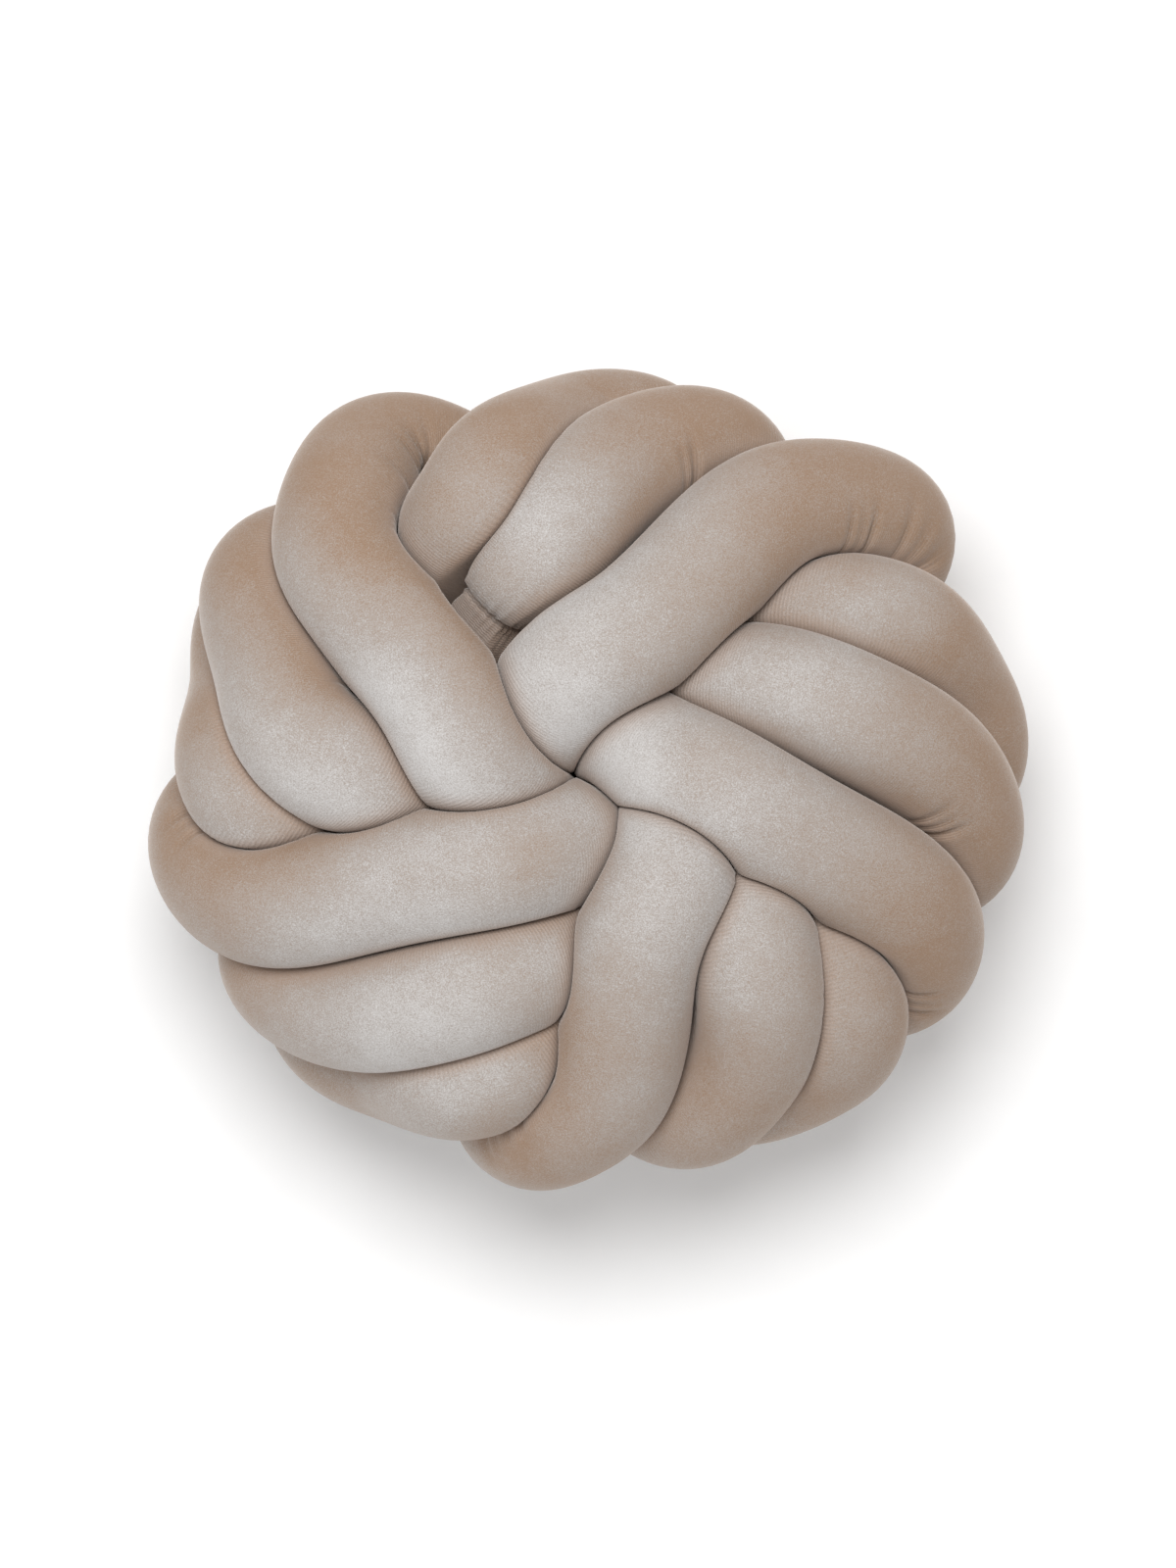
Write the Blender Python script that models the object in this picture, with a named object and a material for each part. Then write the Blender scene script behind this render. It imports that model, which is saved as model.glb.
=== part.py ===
"""Knot cushion: a ball knot of three stuffed velvet tubes, lying on its back.

Each tube is a closed ring with its two ends sewn together. The three rings run side by side
through one knot of five bends on the face and five on the back, and press flat on each other
where they meet. Metres, +Z up, the face upward, the origin under the middle on the surface.
"""
import math
from collections import namedtuple

import bpy
import numpy as np
from mathutils import Matrix

NAME = "knot_cushion"

# Driving sizes
TUBE_RADIUS = 0.028          # of a tube where nothing presses on it
MIDDLE_RADIUS = 0.122        # from the axis to the middle of the wall of tubes, at the rim
FACE_HEIGHT = 0.056          # of the wall's middle above the rim
BACK_HEIGHT = 0.064          # of the wall's middle below the rim
WALL_SQUARENESS = 2.5        # 2 is an ellipse, more is boxier
LAYER_OFFSET = 0.021         # of a tube on top, or beneath, from the wall's middle
PRESSED_FLAT = 0.010         # how far the lowest tubes are flattened on the surface
GAP = 0.0008                 # between two tubes' facets
ROUNDNESS = 10.0             # higher makes a sharper edge where two tubes press
INNER_BEND = 0.9             # share of a bend's own radius that the tube may fill

# The knot
BANDS = 5                    # bends on each side
BEND_STEP = 108.0            # degrees from a face bend to the next back bend
NEIGHBOUR_STEP = 72.0        # degrees between neighbouring bends
FIRST_BEND = 190.0           # bearing of the first face bend

Bend = namedtuple("Bend", "face_depth back_depth")
Crossing = namedtuple("Crossing", "bearing depth")
Swing = namedtuple("Swing", "bearing turn reach")

# How far each tube's bends lie from the middle of the face and of the back.
BENDS = {
    "inner": Bend(0.025, 0.090),
    "middle": Bend(0.075, 0.058),
    "outer": Bend(0.112, 0.022),
}

# Where tubes cross on the face side: the tube on top, then the one beneath. The bearing is
# counted back from the top tube's bend, the depth from the middle of the face over the wall.
FACE_CROSSINGS = {
    ("inner", "inner"): Crossing(36, 0.042),
    ("inner", "middle"): Crossing(53, 0.090),
    ("inner", "outer"): Crossing(61, 0.128),
    ("middle", "inner"): Crossing(20, 0.091),
    ("middle", "middle"): Crossing(36, 0.123),
    ("middle", "outer"): Crossing(50, 0.146),
    ("outer", "inner"): Crossing(12, 0.125),
    ("outer", "middle"): Crossing(25, 0.146),
    ("outer", "outer"): Crossing(40, 0.163),
}

# Where they cross on the back side: the tube beneath, then the one on top.
BACK_CROSSINGS = {
    ("inner", "inner"): Crossing(85, 0.178),
    ("inner", "middle"): Crossing(92, 0.193),
    ("inner", "outer"): Crossing(101, 0.208),
    ("middle", "inner"): Crossing(68, 0.193),
    ("middle", "middle"): Crossing(79, 0.215),
    ("middle", "outer"): Crossing(93, 0.238),
    ("outer", "inner"): Crossing(55, 0.208),
    ("outer", "middle"): Crossing(61, 0.238),
    ("outer", "outer"): Crossing(75, 0.272),
}

# The inner tube is the last to leave the outside, and stands proud where it rounds the rim.
RIM_TURN = Crossing(75, 0.154)
RIM_PROUD = 1.25

# The knot was pulled tight by hand: each band's runs are turned and pushed out a little.
SWINGS = (
    Swing(64.0, -3.0, -0.005),
    Swing(136.0, 6.0, 0.002),
    Swing(208.0, -3.0, 0.000),
    Swing(280.0, 2.0, -0.013),
    Swing(352.0, -9.0, 0.004),
)
SWING_FADE = (0.120, 0.090)  # depth where the turn starts to fade, and over what length

# Where a hand pulled the face's runs aside or outwards. x and y are on the face, from above.
Pull = namedtuple("Pull", "x y right up out spread")
PULLS = (
    Pull(0.036, -0.038, 0.014, 0.002, 0.000, 0.022),
    Pull(0.022, -0.020, 0.010, -0.003, 0.000, 0.020),
    Pull(0.010, -0.115, -0.008, 0.003, 0.000, 0.040),
    Pull(-0.012, 0.040, -0.009, 0.008, 0.000, 0.028),
    Pull(0.049, 0.041, -0.007, -0.009, 0.000, 0.022),
    Pull(-0.040, 0.004, -0.007, -0.005, 0.000, 0.028),
    Pull(-0.115, 0.016, -0.007, -0.006, 0.000, 0.025),
    Pull(-0.134, 0.078, -0.004, 0.002, 0.000, 0.020),
    Pull(-0.160, 0.035, 0.012, 0.000, 0.000, 0.032),
    Pull(-0.085, 0.140, -0.003, 0.001, 0.000, 0.025),
    Pull(-0.035, 0.150, 0.004, -0.003, 0.000, 0.022),
    Pull(-0.050, 0.118, 0.009, -0.002, 0.015, 0.025),
    Pull(-0.022, 0.138, 0.004, 0.000, 0.006, 0.022),
    Pull(-0.022, 0.090, 0.002, 0.000, -0.005, 0.022),
    Pull(0.128, 0.103, 0.009, 0.005, 0.000, 0.030),
    Pull(0.150, 0.012, 0.004, 0.003, 0.000, 0.035),
    Pull(0.142, -0.085, -0.002, 0.006, 0.000, 0.030),
    Pull(0.100, -0.112, 0.006, -0.005, 0.000, 0.025),
    Pull(0.045, -0.150, 0.003, -0.008, 0.000, 0.030),
    Pull(-0.138, -0.098, 0.005, 0.004, 0.000, 0.025),
    Pull(-0.165, -0.030, 0.003, 0.000, 0.000, 0.025),
    Pull(-0.092, 0.112, 0.003, 0.001, 0.007, 0.025),
    Pull(-0.160, 0.080, 0.007, 0.000, 0.000, 0.025),
    Pull(-0.065, -0.130, 0.000, 0.003, 0.010, 0.035),
    Pull(-0.002, -0.138, -0.004, 0.002, 0.005, 0.022),
    Pull(0.064, -0.095, 0.007, 0.000, 0.000, 0.030),
    Pull(-0.105, 0.140, -0.003, 0.002, 0.000, 0.025),
    Pull(0.165, 0.055, 0.003, 0.002, 0.000, 0.025),
    Pull(-0.015, -0.160, 0.000, -0.003, 0.000, 0.025),
)
PULL_FADE = (-0.045, 0.045)  # height where the pulls start to show, and over what length
OUT_FADE = (0.000, 0.030)    # the same for the share that pushes outwards

# Facets
RINGS = 210                  # stations along each tube
BEVEL_RESOLUTION = 5         # gives 14 sides
STEPS_PER_RING = 4           # finer stations, which the tubes are pressed against
PRESS_WINDOW = 2             # fine stations on each side that a ring must clear
BEND_WINDOW = 5              # fine stations on each side whose bends narrow a ring
PATH_POINTS = RINGS * STEPS_PER_RING
MERIDIAN_STEPS = 2000
TUBES = tuple(BENDS)


def clear_scene():
    for thing in list(bpy.data.objects):
        bpy.data.objects.remove(thing, do_unlink=True)


def make_collection(name):
    made = bpy.data.collections.new(name)
    bpy.context.scene.collection.children.link(made)
    return made


def velvet(name, colour):
    made = bpy.data.materials.new(name)
    made.use_nodes = True
    shader = made.node_tree.nodes["Principled BSDF"]
    shader.inputs["Base Color"].default_value = colour
    shader.inputs["Roughness"].default_value = 0.85
    shader.inputs["Metallic"].default_value = 0.0
    made.diffuse_color = colour
    return made


def smooth_step(value):
    value = np.clip(value, 0.0, 1.0)
    return value * value * (3.0 - 2.0 * value)


def closed_spline(knots, rows, at):
    """Cubic through rows at rising knots. The last row repeats the first, one turn later."""
    span = np.diff(knots)
    slope = np.diff(rows, axis=0) / span[:, None]
    count = len(span)
    before = np.roll(span, 1)
    matrix = np.zeros((count, count))
    index = np.arange(count)
    matrix[index, index] = 2.0 * (before + span)
    matrix[index, (index - 1) % count] += before
    matrix[index, (index + 1) % count] += span
    bend = np.linalg.solve(matrix, 6.0 * (slope - np.roll(slope, 1, axis=0)))
    bend = np.vstack([bend, bend[:1]])
    turn = knots[-1] - knots[0]
    at = (np.asarray(at) - knots[0]) % turn + knots[0]
    piece = np.clip(np.searchsorted(knots, at, side="right") - 1, 0, count - 1)
    step = (at - knots[piece])[:, None]
    left = (knots[piece + 1] - at)[:, None]
    width = span[piece][:, None]
    curve = (bend[piece] * left ** 3 + bend[piece + 1] * step ** 3) / (6.0 * width)
    line = (rows[piece] / width - bend[piece] * width / 6.0) * left
    return curve + line + (rows[piece + 1] / width - bend[piece + 1] * width / 6.0) * step


def meridian():
    """The wall's middle from the face's centre to the back's: depth, radius, height, normal."""
    angle = np.linspace(0.0, math.pi, MERIDIAN_STEPS)
    power = 2.0 / WALL_SQUARENESS
    height = np.where(np.cos(angle) > 0.0, FACE_HEIGHT, BACK_HEIGHT)
    radius = MIDDLE_RADIUS * np.abs(np.sin(angle)) ** power
    level = height * np.sign(np.cos(angle)) * np.abs(np.cos(angle)) ** power
    length = np.r_[0.0, np.cumsum(np.hypot(np.diff(radius), np.diff(level)))]
    depth = np.linspace(0.0, length[-1], MERIDIAN_STEPS)
    radius = np.interp(depth, length, radius)
    level = np.interp(depth, length, level)
    across = np.gradient(radius, depth)
    down = np.gradient(level, depth)
    size = np.hypot(across, down)
    return depth, radius, level, -down / size, across / size


def swing_at(bearing):
    knots = np.array([row.bearing for row in SWINGS] + [SWINGS[0].bearing + 360.0])
    rows = np.array([(row.turn, row.reach) for row in SWINGS + SWINGS[:1]])
    return closed_spline(knots, rows, bearing).T


def pulled(points):
    """The points after every pull, which fades out below the rim."""
    level = points[:, 2]
    aside = smooth_step((level - PULL_FADE[0]) / PULL_FADE[1])
    outward = smooth_step((level - OUT_FADE[0]) / OUT_FADE[1])
    moved = points.copy()
    for pull in PULLS:
        distance = np.hypot(points[:, 0] - pull.x, points[:, 1] - pull.y)
        near = np.exp(-(distance / pull.spread) ** 2)
        moved[:, 0] += near * aside * pull.right
        moved[:, 1] += near * aside * pull.up
        moved[:, 2] += near * outward * pull.out
    return moved


def band_rows(tube, full_depth):
    """One band of a tube from back bend to back bend: bearing, depth, and layer, 1 on top."""
    top = []
    for beneath in TUBES:
        crossing = FACE_CROSSINGS[tube, beneath]
        proud = RIM_PROUD if (tube, beneath) == ("inner", "outer") else 1.0
        top.append((-crossing.bearing, crossing.depth, proud))
    if tube == "inner":
        top.append((-RIM_TURN.bearing, RIM_TURN.depth, RIM_PROUD))
    for over in TUBES:
        crossing = BACK_CROSSINGS[tube, over]
        top.append((-crossing.bearing, crossing.depth, -1.0))
    under = []
    for over in TUBES:
        crossing = FACE_CROSSINGS[over, tube]
        under.append((NEIGHBOUR_STEP - crossing.bearing, crossing.depth, -1.0))
    for beneath in TUBES:
        crossing = BACK_CROSSINGS[beneath, tube]
        under.append((2.0 * NEIGHBOUR_STEP - crossing.bearing, crossing.depth, 1.0))
    face_bend = (0.0, BENDS[tube].face_depth, 0.0)
    back_bend = (BEND_STEP, full_depth - BENDS[tube].back_depth, 0.0)
    return top[::-1] + [face_bend] + under + [back_bend]


def centreline(tube, count):
    """Evenly spaced points along the closed middle line of a tube."""
    depths, radii, levels, outward, upward = meridian()
    rows = []
    for band in range(BANDS):
        start = FIRST_BEND + 2.0 * BEND_STEP * band
        for bearing, depth, layer in band_rows(tube, depths[-1]):
            rows.append((start + bearing, depth, layer))
    bearing, depth, layer = np.array(rows).T
    fade_from, fade_over = SWING_FADE
    turn = swing_at(bearing)[0]
    bearing = bearing + turn * (1.0 - smooth_step((depth - fade_from) / fade_over))
    reach = swing_at(bearing)[1] * np.sin(math.pi * depth / depths[-1]) ** 2
    offset = LAYER_OFFSET * layer
    radius = np.interp(depth, depths, radii) + reach + offset * np.interp(depth, depths, outward)
    level = np.interp(depth, depths, levels) + offset * np.interp(depth, depths, upward)
    angle = np.radians(bearing)
    points = np.stack([radius * np.cos(angle), radius * np.sin(angle), level], axis=1)
    points = np.vstack([points, points[:1]])
    knots = np.r_[0.0, np.cumsum(np.linalg.norm(np.diff(points, axis=0), axis=1) ** 0.6)]
    fine = closed_spline(knots, points, np.linspace(0.0, knots[-1], 12 * len(points))[:-1])
    fine = pulled(np.vstack([fine, fine[:1]]))
    length = np.r_[0.0, np.cumsum(np.linalg.norm(np.diff(fine, axis=0), axis=1))]
    at = np.linspace(0.0, length[-1], count, endpoint=False)
    return np.stack([np.interp(at, length, fine[:, axis]) for axis in range(3)], axis=1)


def curvature(points):
    """The vector towards each bend's centre, as long as one over its radius."""
    before = np.roll(points, 1, axis=0)
    after = np.roll(points, -1, axis=0)
    step = np.linalg.norm(after - points, axis=1).mean()
    return (after - 2.0 * points + before) / step ** 2


def pressed_radius(own, index, directions, paths):
    """How far a tube reaches in each direction before it meets itself or a neighbour."""
    centre = paths[own][index]
    reach = np.full(len(directions), 1.0)
    for other, path in enumerate(paths):
        offset = path - centre
        distance = np.einsum("ij,ij->i", offset, offset)
        near = distance < (2.6 * TUBE_RADIUS) ** 2
        if other == own:
            step = np.linalg.norm(path[1] - path[0])
            apart = np.abs(np.arange(len(path)) - index)
            apart = np.minimum(apart, len(path) - apart)
            near &= apart * step > 2.2 * TUBE_RADIUS
        if near.any():
            facing = np.maximum(directions @ offset[near].T, 1e-6)
            reach = np.minimum(reach, (distance[near] / (2.0 * facing)).min(axis=1))
    return reach - GAP / 2.0


def shape_tube(mesh, own, paths, bends):
    """Moves each ring of a plain tube's vertices in to what presses on it."""
    count = len(mesh.vertices)
    places = np.empty(count * 3)
    mesh.vertices.foreach_get("co", places)
    places = places.reshape(RINGS, count // RINGS, 3)
    window = range(-PRESS_WINDOW, PRESS_WINDOW + 1)
    bend_window = range(-BEND_WINDOW, BEND_WINDOW + 1)
    for ring in range(RINGS):
        index = ring * STEPS_PER_RING
        centre = places[ring].mean(axis=0)
        directions = places[ring] - centre
        directions /= np.linalg.norm(directions, axis=1, keepdims=True)
        pressed = np.min([
            pressed_radius(own, (index + step) % PATH_POINTS, directions, paths)
            for step in window
        ], axis=0)
        nearby = [bends[own][(index + step) % PATH_POINTS] for step in bend_window]
        inward = np.maximum((directions @ np.transpose(nearby)).max(axis=1), 1.0)
        pressed = np.minimum(pressed, INNER_BEND / inward)
        radius = (TUBE_RADIUS ** -ROUNDNESS + pressed ** -ROUNDNESS) ** (-1.0 / ROUNDNESS)
        downward = np.maximum(-directions[:, 2], 1e-6)
        radius = np.minimum(radius, centre[2] / downward)
        places[ring] = centre + directions * radius[:, None]
    mesh.vertices.foreach_set("co", places.ravel())
    mesh.update()


def tube_mesh(name, points):
    """A plain closed tube swept along the points."""
    curve = bpy.data.curves.new(name + "_path", "CURVE")
    curve.dimensions = "3D"
    curve.bevel_depth = TUBE_RADIUS
    curve.bevel_resolution = BEVEL_RESOLUTION
    spline = curve.splines.new("POLY")
    spline.points.add(len(points) - 1)
    spline.points.foreach_set("co", np.c_[points, np.ones(len(points))].ravel())
    spline.use_cyclic_u = True
    carrier = bpy.data.objects.new(name + "_path", curve)
    bpy.context.scene.collection.objects.link(carrier)
    graph = bpy.context.evaluated_depsgraph_get()
    mesh = bpy.data.meshes.new_from_object(carrier.evaluated_get(graph))
    bpy.data.objects.remove(carrier)
    bpy.data.curves.remove(curve)
    return mesh


def centre_pieces(pieces):
    """Puts the middle of the whole cushion's box over the origin."""
    corners = np.array([piece.bound_box for piece in pieces]).reshape(-1, 3)
    middle = (corners.min(axis=0) + corners.max(axis=0)) / 2.0
    for piece in pieces:
        piece.data.transform(Matrix.Translation((-middle[0], -middle[1], 0.0)))


def build():
    clear_scene()
    parts = make_collection(NAME)
    paths = [centreline(tube, PATH_POINTS) for tube in TUBES]
    everything = np.vstack(paths)
    lift = TUBE_RADIUS - PRESSED_FLAT - everything[:, 2].min()
    paths = [path + np.array([0.0, 0.0, lift]) for path in paths]
    bends = [curvature(path) for path in paths]
    cloth = velvet("taupe_velvet", (0.48, 0.35, 0.27, 1.0))
    pieces = []
    for own, tube in enumerate(TUBES):
        name = tube + "_tube"
        mesh = tube_mesh(name, paths[own][::STEPS_PER_RING])
        shape_tube(mesh, own, paths, bends)
        mesh.materials.clear()
        mesh.materials.append(cloth)
        mesh.shade_smooth()
        piece = bpy.data.objects.new(name, mesh)
        parts.objects.link(piece)
        pieces.append(piece)
    centre_pieces(pieces)


build()
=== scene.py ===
"""Knot cushion: three stuffed velvet tubes, pulled into one ball knot, lying on its back.

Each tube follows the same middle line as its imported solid, with many more facets. It is pressed
against its neighbours, creased and puckered on the inside of its bends, and finished in taupe
velvet. The middle tube is also gathered at its sewn join. Metres, +Z up.
"""

import math
from collections import namedtuple

import bmesh
import bpy
import numpy as np
from bpy.props import FloatProperty, FloatVectorProperty, IntProperty, PointerProperty
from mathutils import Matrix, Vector


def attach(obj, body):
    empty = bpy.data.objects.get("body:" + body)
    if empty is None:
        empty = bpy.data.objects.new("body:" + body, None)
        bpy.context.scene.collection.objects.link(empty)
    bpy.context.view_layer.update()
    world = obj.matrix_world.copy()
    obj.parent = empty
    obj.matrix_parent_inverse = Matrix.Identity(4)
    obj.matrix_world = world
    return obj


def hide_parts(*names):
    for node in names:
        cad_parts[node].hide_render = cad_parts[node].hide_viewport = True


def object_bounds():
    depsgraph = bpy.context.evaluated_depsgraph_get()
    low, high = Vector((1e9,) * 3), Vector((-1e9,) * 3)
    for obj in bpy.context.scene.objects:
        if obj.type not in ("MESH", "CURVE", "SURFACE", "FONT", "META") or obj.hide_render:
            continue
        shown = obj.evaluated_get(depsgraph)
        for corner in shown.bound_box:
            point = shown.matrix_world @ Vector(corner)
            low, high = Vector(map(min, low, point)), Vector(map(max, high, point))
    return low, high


bl_info = {
    "name": "Knot Cushion",
    "version": (1, 0, 0),
    "blender": (4, 5, 0),
    "location": "View3D > Sidebar > Cushion",
    "description": "Dresses a knot cushion's tubes in velvet and sets them on a pale floor",
    "category": "Object",
}

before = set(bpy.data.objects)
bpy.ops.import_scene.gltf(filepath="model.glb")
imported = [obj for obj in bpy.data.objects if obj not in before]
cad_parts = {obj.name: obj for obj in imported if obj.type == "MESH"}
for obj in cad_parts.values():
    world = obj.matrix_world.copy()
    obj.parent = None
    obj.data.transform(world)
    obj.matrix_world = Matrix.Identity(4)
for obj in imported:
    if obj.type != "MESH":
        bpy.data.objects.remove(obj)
SOLIDS_BOX = [list(corner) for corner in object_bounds()]

# The knot. Bearings and turns are in degrees.
BANDS = 5                    # bends on each side
BEND_STEP = 108.0            # from a face bend to the next back bend
NEIGHBOUR_STEP = 72.0        # between neighbouring bends
FIRST_BEND = 190.0           # bearing of the first face bend

# How far each tube's bends lie from the middle of the face and of the back.
Bend = namedtuple("Bend", "face_depth back_depth")
BENDS = {
    "inner": Bend(0.025, 0.090),
    "middle": Bend(0.075, 0.058),
    "outer": Bend(0.112, 0.022),
}
TUBES = tuple(BENDS)

# Where tubes cross on the face side: the tube on top, then the one beneath. The bearing is
# counted back from the top tube's bend, the depth from the middle of the face over the wall.
Crossing = namedtuple("Crossing", "bearing depth")
FACE_CROSSINGS = {
    ("inner", "inner"): Crossing(36, 0.042),
    ("inner", "middle"): Crossing(53, 0.090),
    ("inner", "outer"): Crossing(61, 0.128),
    ("middle", "inner"): Crossing(20, 0.091),
    ("middle", "middle"): Crossing(36, 0.123),
    ("middle", "outer"): Crossing(50, 0.146),
    ("outer", "inner"): Crossing(12, 0.125),
    ("outer", "middle"): Crossing(25, 0.146),
    ("outer", "outer"): Crossing(40, 0.163),
}

# Where they cross on the back side: the tube beneath, then the one on top.
BACK_CROSSINGS = {
    ("inner", "inner"): Crossing(85, 0.178),
    ("inner", "middle"): Crossing(92, 0.193),
    ("inner", "outer"): Crossing(101, 0.208),
    ("middle", "inner"): Crossing(68, 0.193),
    ("middle", "middle"): Crossing(79, 0.215),
    ("middle", "outer"): Crossing(93, 0.238),
    ("outer", "inner"): Crossing(55, 0.208),
    ("outer", "middle"): Crossing(61, 0.238),
    ("outer", "outer"): Crossing(75, 0.272),
}

# The inner tube is the last to leave the outside, and stands proud where it rounds the rim.
RIM_TURN = Crossing(75, 0.154)
RIM_PROUD = 1.25

# The knot was pulled tight by hand: each band's runs are turned and pushed out a little.
Swing = namedtuple("Swing", "bearing turn reach")
SWINGS = (
    Swing(64.0, -3.0, -0.005),
    Swing(136.0, 6.0, 0.002),
    Swing(208.0, -3.0, 0.000),
    Swing(280.0, 2.0, -0.013),
    Swing(352.0, -9.0, 0.004),
)
SWING_FADE = (0.120, 0.090)  # depth where the turn starts to fade, and over what length

# Where a hand pulled the face's runs aside or outwards. x and y are on the face, from above.
Pull = namedtuple("Pull", "x y right up out spread")
PULLS = (
    Pull(0.036, -0.038, 0.014, 0.002, 0.000, 0.022),
    Pull(0.022, -0.020, 0.010, -0.003, 0.000, 0.020),
    Pull(0.010, -0.115, -0.008, 0.003, 0.000, 0.040),
    Pull(-0.012, 0.040, -0.009, 0.008, 0.000, 0.028),
    Pull(0.049, 0.041, -0.007, -0.009, 0.000, 0.022),
    Pull(-0.040, 0.004, -0.007, -0.005, 0.000, 0.028),
    Pull(-0.115, 0.016, -0.007, -0.006, 0.000, 0.025),
    Pull(-0.134, 0.078, -0.004, 0.002, 0.000, 0.020),
    Pull(-0.160, 0.035, 0.012, 0.000, 0.000, 0.032),
    Pull(-0.085, 0.140, -0.003, 0.001, 0.000, 0.025),
    Pull(-0.035, 0.150, 0.004, -0.003, 0.000, 0.022),
    Pull(-0.050, 0.118, 0.009, -0.002, 0.015, 0.025),
    Pull(-0.022, 0.138, 0.004, 0.000, 0.006, 0.022),
    Pull(-0.022, 0.090, 0.002, 0.000, -0.005, 0.022),
    Pull(0.128, 0.103, 0.009, 0.005, 0.000, 0.030),
    Pull(0.150, 0.012, 0.004, 0.003, 0.000, 0.035),
    Pull(0.142, -0.085, -0.002, 0.006, 0.000, 0.030),
    Pull(0.100, -0.112, 0.006, -0.005, 0.000, 0.025),
    Pull(0.045, -0.150, 0.003, -0.008, 0.000, 0.030),
    Pull(-0.138, -0.098, 0.005, 0.004, 0.000, 0.025),
    Pull(-0.165, -0.030, 0.003, 0.000, 0.000, 0.025),
    Pull(-0.092, 0.112, 0.003, 0.001, 0.007, 0.025),
    Pull(-0.160, 0.080, 0.007, 0.000, 0.000, 0.025),
    Pull(-0.065, -0.130, 0.000, 0.003, 0.010, 0.035),
    Pull(-0.002, -0.138, -0.004, 0.002, 0.005, 0.022),
    Pull(0.064, -0.095, 0.007, 0.000, 0.000, 0.030),
    Pull(-0.105, 0.140, -0.003, 0.002, 0.000, 0.025),
    Pull(0.165, 0.055, 0.003, 0.002, 0.000, 0.025),
    Pull(-0.015, -0.160, 0.000, -0.003, 0.000, 0.025),
)
PULL_FADE = (-0.045, 0.045)  # height over the rim where pulls start to show, and over what length
OUT_FADE = (0.000, 0.030)    # the same for the share that pushes outwards

# Puckers in the cloth on the inside of a bend. x and y are on the face, seen from above.
Pucker = namedtuple("Pucker", "tube x y count spacing depth reach")
PUCKERS = (
    Pucker("inner", -0.068, 0.128, 9, 0.0046, 0.0026, 0.030),
    Pucker("inner", 0.109, 0.100, 3, 0.0065, 0.0028, 0.018),
    Pucker("inner", 0.136, 0.096, 3, 0.0080, 0.0032, 0.024),
    Pucker("middle", 0.042, 0.123, 2, 0.0065, 0.0038, 0.018),
    Pucker("middle", 0.137, -0.020, 3, 0.0065, 0.0028, 0.018),
    Pucker("inner", 0.131, -0.092, 3, 0.0065, 0.0024, 0.018),
    Pucker("inner", -0.036, -0.137, 4, 0.0075, 0.0028, 0.020),
    Pucker("inner", -0.161, -0.017, 3, 0.0065, 0.0026, 0.020),
)
PUCKER_DEPTHS = (0.7, 0.3)   # share of the depth that all puckers of a row have, and that varies
PUCKER_TURN = 2.4            # radians by which the second share turns from one to the next
SLACK_FOR_PUCKERS = 0.20     # share of its length that the cloth keeps where puckers are whole

# Small creases across the inside of a tight bend. Ranges are shares of the cloth's own sizes.
TIGHT_BEND = (0.38, 0.35)    # tube's radius over the bend's where they start, and what more until full
CREASE_WIDTHS = (0.7, 1.3)
CREASE_DEPTHS = (0.2, 1.0)
CREASE_GAPS = (0.6, 1.6)
CREASE_LEAN = 0.004          # furthest that a crease leans along the tube
CREASE_EDGES = (0.15, 0.55)  # cosine of the angle from the bend's inside at which a crease ends
CREASE_FADE = 0.5            # cosine over which it deepens from there
SLACK_FOR_CREASES = 0.5      # share of its length that the cloth keeps where creases are whole

# The one join that shows: the middle tube's ends meet at a face bend, in a pocket.
JOIN_TUBE = "middle"
JOIN_PLACE = (-0.0430, 0.0610)
JOIN_DRAW = (0.55, 0.45)     # how far the join is drawn in at its sides, and how much more on top
PLEAT_DRIFT = (0.9, 3.0)     # how far the pleats stray from even steps, and how often in a round
LIP_PLACES = (-0.0020, 0.0020)  # the two turned-in edges, along the tube from the join
LIP_WIDTH = 0.0012
LIP_PUFFS = 31.0             # puffs of the edges between stitches, in a round
PUFF_DRIFT = (2.0, 5.0)      # the same as for the pleats

# The pile lies away round the rim, and its tips face outwards on the face and the back. The nap
# paints that look into the colour: silvery is painted sheen, brown is painted shade, and more than 1
# is a painted highlight. Heights are from the rim. Nap is 0 where the velvet is brown, 1 where it is
# silvery.
RIM_LEVEL = 0.008            # rounds the change from the face's pile to the back's
NAP_START = 0.0140           # added to every height, so the rim's own pile isn't fully away
NAP_RISE = 0.100             # height over which its tips turn outwards
SHEEN_FLAT = 1.17              # painted sheen: how silvery the face and back are
RIM_BLEND = 0.030            # height over which the rim's pile turns from the back's to the face's
NAP_CLIMB = 0.38             # painted shade: how much browner a tube is where it climbs away from the rim
SHEEN_ACROSS = 0.13            # painted sheen: how much more silvery its right side is than its left
UPRIGHT_FADE = 0.2           # level share of its heading below which left and right sides fade out
NAP_BASE = 0.20              # how much browner all of the velvet is
PAINTED_FACING_LIGHT = (-0.22, -0.12)  # painted light from the left and below: change on sides that face right and up, which it makes browner
PAINTED_LIGHT_SLOPE = (-0.1, -0.9)      # painted light: change over a metre to the right and up, which makes the face browner there
SPOT_FADE = 0.03           # height over which the painted sheen and shade spots below start to show
EDGE_START = 0.95            # room to the next tube, in radii, up to which a crease is at its fullest
EDGE_REACH = 0.9             # room over which it fades from there
CREASE_SHADE_AND_SHEEN = (-0.20, 0.12)     # painted shade and sheen by a crease: how much browner its left side is there, and more silvery its right
NAP_MIDDLE = 0.5             # the nap that contrast leaves as it is
NAP_CONTRAST = 1.3           # how far brown and silver are driven apart
LEAST_NAP = 0.12             # the brownest that the pile gets
MOST_NAP = 1.4               # the brightest
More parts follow.
